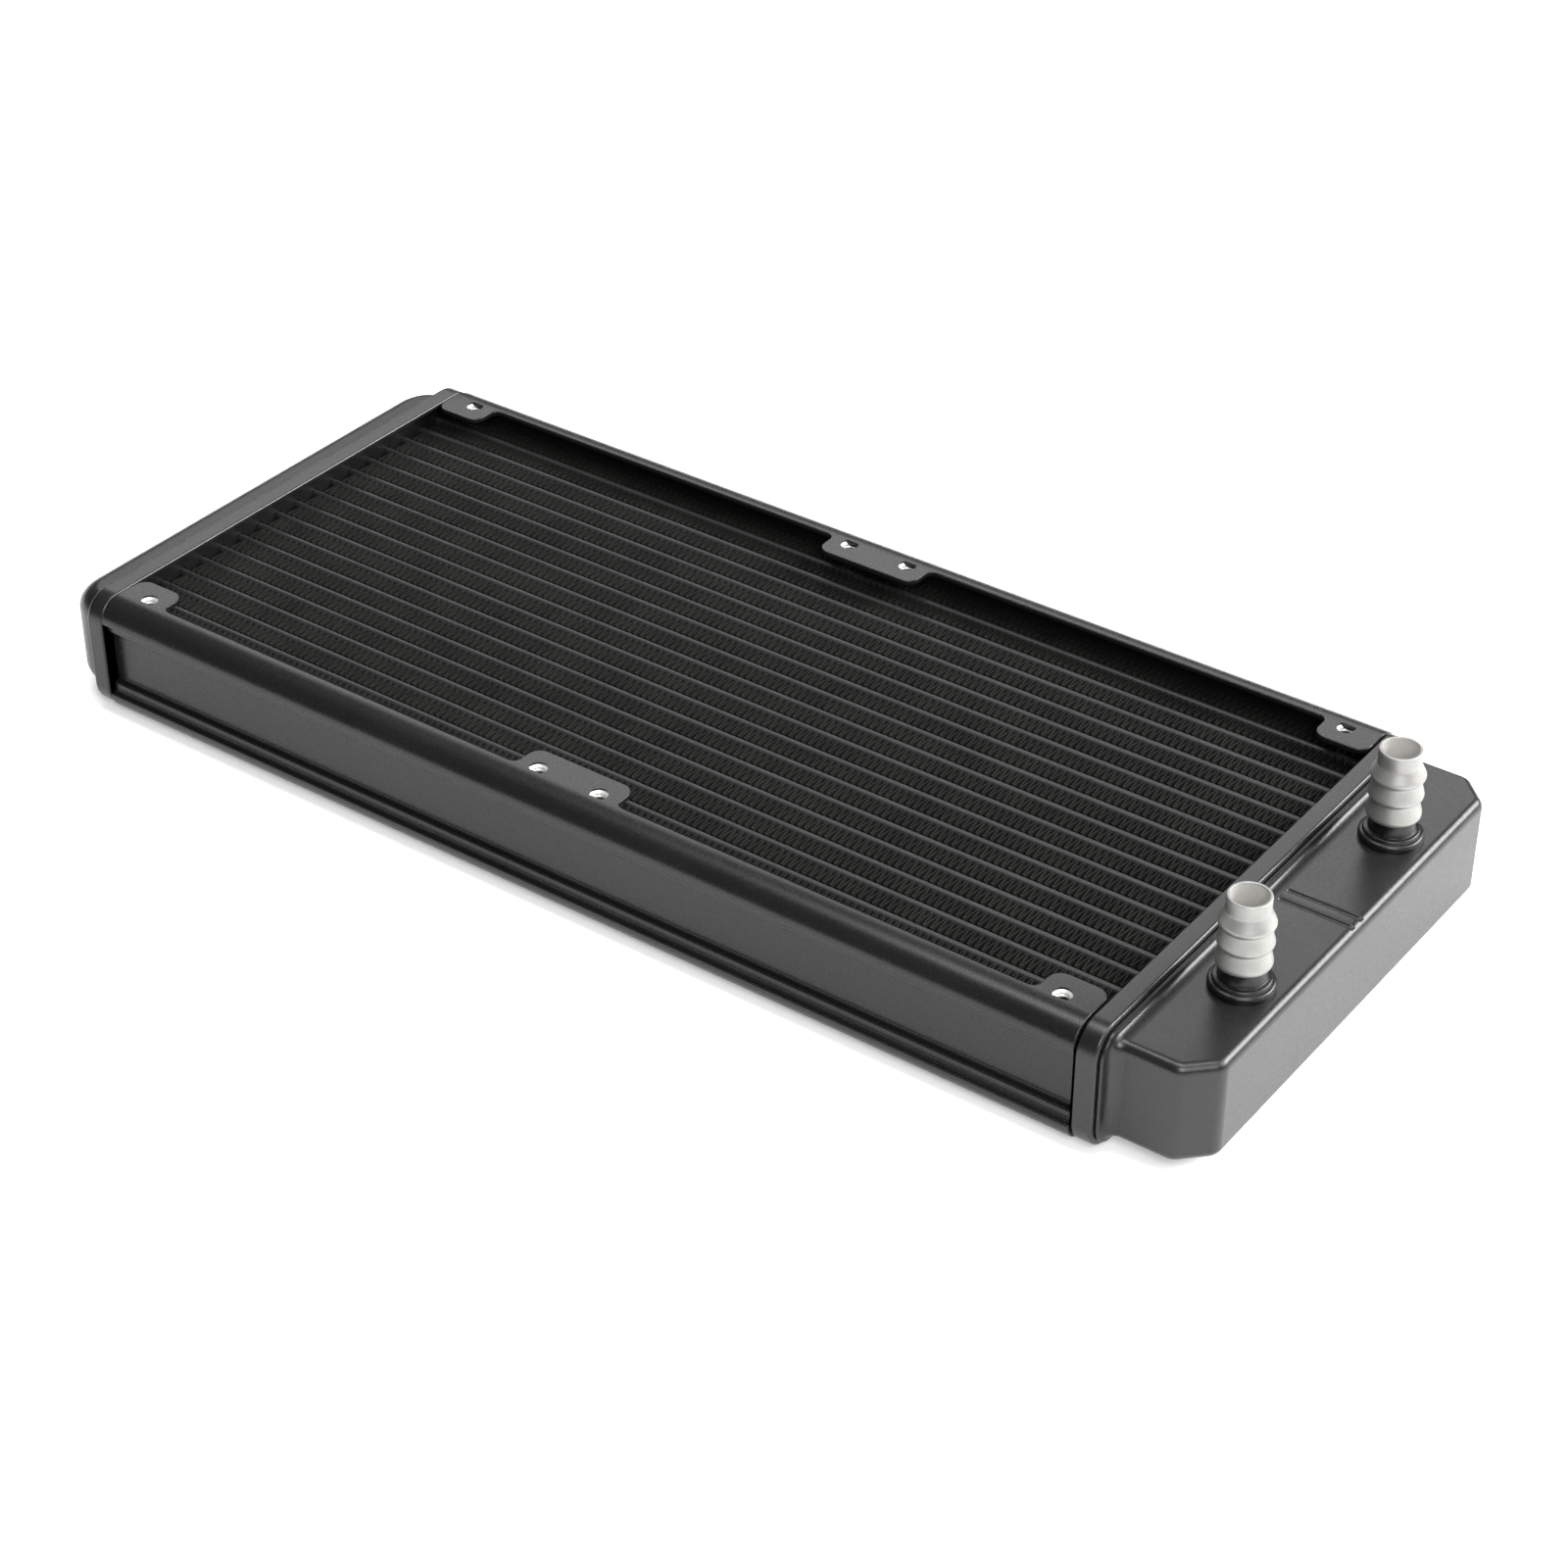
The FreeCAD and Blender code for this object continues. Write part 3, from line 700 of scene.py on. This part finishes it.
def foot(bm, face, out, low, high, walls, fillet):
    """Thin foot of a tank, set off from its header by a crease, with a hollow fillet up to the walls."""
    half, bottom, top, rim = walls
    along, across, up = fillet
    levels = []
    for reach, inset in FOOT_EDGES:
        levels.append((reach, high.y - inset, low.z + inset, high.z - inset, FOOT_CORNER - inset))
    for turn in quarter_turns(FILLET_STEPS):
        left = 1 - math.sin(turn)
        wide, rise = half + across * left - FILLET_SINK, up * left - FILLET_SINK
        levels.append((TANK_FOOT + along * (1 - math.cos(turn)), wide, bottom - rise, top + rise,
                       rim + (FILLET_CORNER - rim) * left))
    loft(bm, [[(face + out * reach, y, z) for y, z in rounded_rectangle(wide, under, over, round_off)]
              for reach, wide, under, over, round_off in levels])


def port_places():
    """Places of the port holes, under the two hose barbs."""
    places = []
    for node in ("hose_barb_near", "hose_barb_far"):
        low, high = node_box(node)
        places.append(((low.x + high.x) / 2, (low.y + high.y) / 2))
    return places


# Screw holes

def collar_profile():
    """Radius and depth of a collar: a countersink, a thread, and back over its outside."""
    profile = [(SCREW_SINK, SINK_DEPTH), THREAD_MOUTH]
    for k in range(THREAD_TURNS):
        start = THREAD_START + THREAD_PITCH * k
        for radius, step in zip((THREAD_ROOT, THREAD_CREST, THREAD_CREST, THREAD_ROOT), THREAD_FLANKS):
            profile.append((radius, start + step))
    profile += [COLLAR_END, (COLLAR_RADIUS, COLLAR_END[1]), (COLLAR_RADIUS, COLLAR_SEAT),
                (SCREW_SINK, COLLAR_SEAT), (SCREW_SINK, SINK_DEPTH)]
    return profile


def tapped_collar(name, x, y, z, up):
    """Bare metal collar drawn down from a tab round its screw hole, countersunk and with a thread in it."""
    bm = bmesh.new()
    turned(bm, x, y, [(radius, z - up * depth) for radius, depth in collar_profile()], COLLAR_STEPS)
    weld(bm)
    add_piece(name, bm, [], [BRIGHT_METAL])


def tapped_collars():
    """A collar in each screw hole of both covers."""
    low, high = node_box("side_cover_far")
    middle = (low.x + high.x) / 2
    for side in (-1, 1):
        for level, z, up in (("top", high.z, 1), ("bottom", low.z, -1)):
            for k, place in enumerate(SCREW_PLACES):
                name = "tapped_collar_%s_%s_%d" % ("near" if side < 0 else "far", level, k + 1)
                tapped_collar(name, middle + place, side * (high.y - SCREW_INSET), z, up)


# Hose barbs

def smooth_line(points, steps):
    """Smooth curve through points of a profile."""
    line = []
    padded = [points[0]] + points + [points[-1]]
    for a, b, c, d in zip(padded, padded[1:], padded[2:], padded[3:]):
        a, b, c, d = (Vector(p) for p in (a, b, c, d))
        for k in range(steps):
            t = k / steps
            line.append(0.5 * (2 * b + (c - a) * t + (2 * a - 5 * b + 4 * c - d) * t ** 2
                               + (3 * b - a - 3 * c + d) * t ** 3))
    return [tuple(point) for point in line] + [tuple(points[-1])]


def ridge_line():
    """Profile of the ridges that hold a hose, up to the nose."""
    ridges = list(FIRST_RIDGE)
    for k in range(RIDGES):
        start = RIDGE_START + RIDGE_PITCH * k
        to_next = RIDGE_VALLEY if k < RIDGES - 1 else ()
        ridges += [(radius, start + up) for radius, up in (RIDGE_BACK, *to_next)]
    return smooth_line(ridges + list(LAST_SLOPE), RIDGE_STEPS)


def hose_barb(node):
    """Turned barb of bare metal with round ridges, on a dark neck, collar and flange; its bore is painted
    lighter as painted light.
    """
    low, high = node_box(node)
    centre = (low + high) / 2
    nose = [(radius, high.z - low.z + up) for radius, up in NOSE_PROFILE]
    profile = [*FITTING_PROFILE, *ridge_line(), *nose, (BORE, 0.0)]
    bm = bmesh.new()
    turned(bm, centre.x, centre.y, [(radius, low.z + up) for radius, up in profile], BARB_TURNS)
    for k, face in enumerate(bm.faces):
        step = k // BARB_TURNS
        if step < len(FITTING_PROFILE) - 1:
            face.material_index = 1
        # Faces inside the bore take the painted-light copy of the bare metal, lighter than the outside.
        elif step >= len(profile) - 2:
            face.material_index = 2
    add_piece(node + "_turned", bm, [node], [BARE_METAL, FITTING_COAT, BORE_PAINTED_LIGHT], sharp=45.0)


# Stage

def floor():
    """White floor just under the part."""
    bpy.ops.mesh.primitive_plane_add(size=FLOOR_SIZE, location=(0, 0, -FLOOR_DROP))
    plane = bpy.context.object
    plane.name = "floor"
    plane.data.materials.append(FLOOR_PAINT)


def sky():
    """Faint light from all round, a little stronger from above."""
    world = bpy.data.worlds.new("studio")
    bpy.context.scene.world = world
    world.use_nodes = True
    tree = world.node_tree
    split = tree.nodes.new("ShaderNodeSeparateXYZ")
    tree.links.new(tree.nodes.new("ShaderNodeTexCoord").outputs["Generated"], split.inputs["Vector"])
    height = tree.nodes.new("ShaderNodeMapRange")
    height.interpolation_type = "SMOOTHSTEP"
    height.inputs["From Min"].default_value = CEILING_BLEND[0]
    height.inputs["From Max"].default_value = CEILING_BLEND[1]
    height.inputs["To Min"].default_value = HORIZON
    height.inputs["To Max"].default_value = CEILING
    tree.links.new(split.outputs["Z"], height.inputs["Value"])
    tree.nodes["Background"].inputs["Color"].default_value = (1.0, 1.0, 1.0, 1.0)
    tree.links.new(height.outputs["Result"], tree.nodes["Background"].inputs["Strength"])


def soft_box(name, place, aim, size, power):
    """Rectangular area light that faces its aim."""
    light = bpy.data.lights.new(name, "AREA")
    light.shape = "RECTANGLE"
    light.size, light.size_y = size
    light.energy = power
    lamp = bpy.data.objects.new(name, light)
    lamp.location = place
    lamp.rotation_euler = (Vector(aim) - Vector(place)).to_track_quat("-Z", "Y").to_euler()
    bpy.context.scene.collection.objects.link(lamp)


def camera():
    """Camera at the photograph's angle."""
    scene = bpy.context.scene
    viewer = bpy.data.objects.new("camera", bpy.data.cameras.new("camera"))
    viewer.data.lens = CAMERA_LENS
    viewer.data.sensor_width = CAMERA_SENSOR
    turn = (Matrix.Rotation(math.radians(CAMERA_AZIMUTH), 4, "Z")
            @ Matrix.Rotation(math.radians(90 - CAMERA_ELEVATION), 4, "X")
            @ Matrix.Rotation(math.radians(CAMERA_ROLL), 4, "Z"))
    viewer.matrix_world = Matrix.Translation(CAMERA_PLACE) @ turn
    scene.collection.objects.link(viewer)
    scene.camera = viewer


BUILDERS = {"fin_strip": fin_strip, "flat_tube": flat_tube, "header": header, "side_cover": side_cover,
            "hose_barb": hose_barb}
for node in sorted(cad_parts):
    for start, build in BUILDERS.items():
        if node.startswith(start):
            build(node)
tapped_collars()
tank("port_tank", side=3.3, over=1.6, rim=2.0, cut=6.0, radius=3.5, holes=port_places(), crown=0.0)
tank("return_tank", side=1.2, over=1.2, rim=4.5, cut=0.0, radius=9.0, holes=[], crown=1.0)
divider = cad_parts["flow_divider"]
divider.data.materials.clear()
divider.data.materials.append(BARE_METAL)

bpy.context.scene.view_settings.view_transform = "Standard"
floor()
sky()
for name, (place, aim, size, power) in SOFT_BOXES.items():
    soft_box(name, place, aim, size, power)
camera()
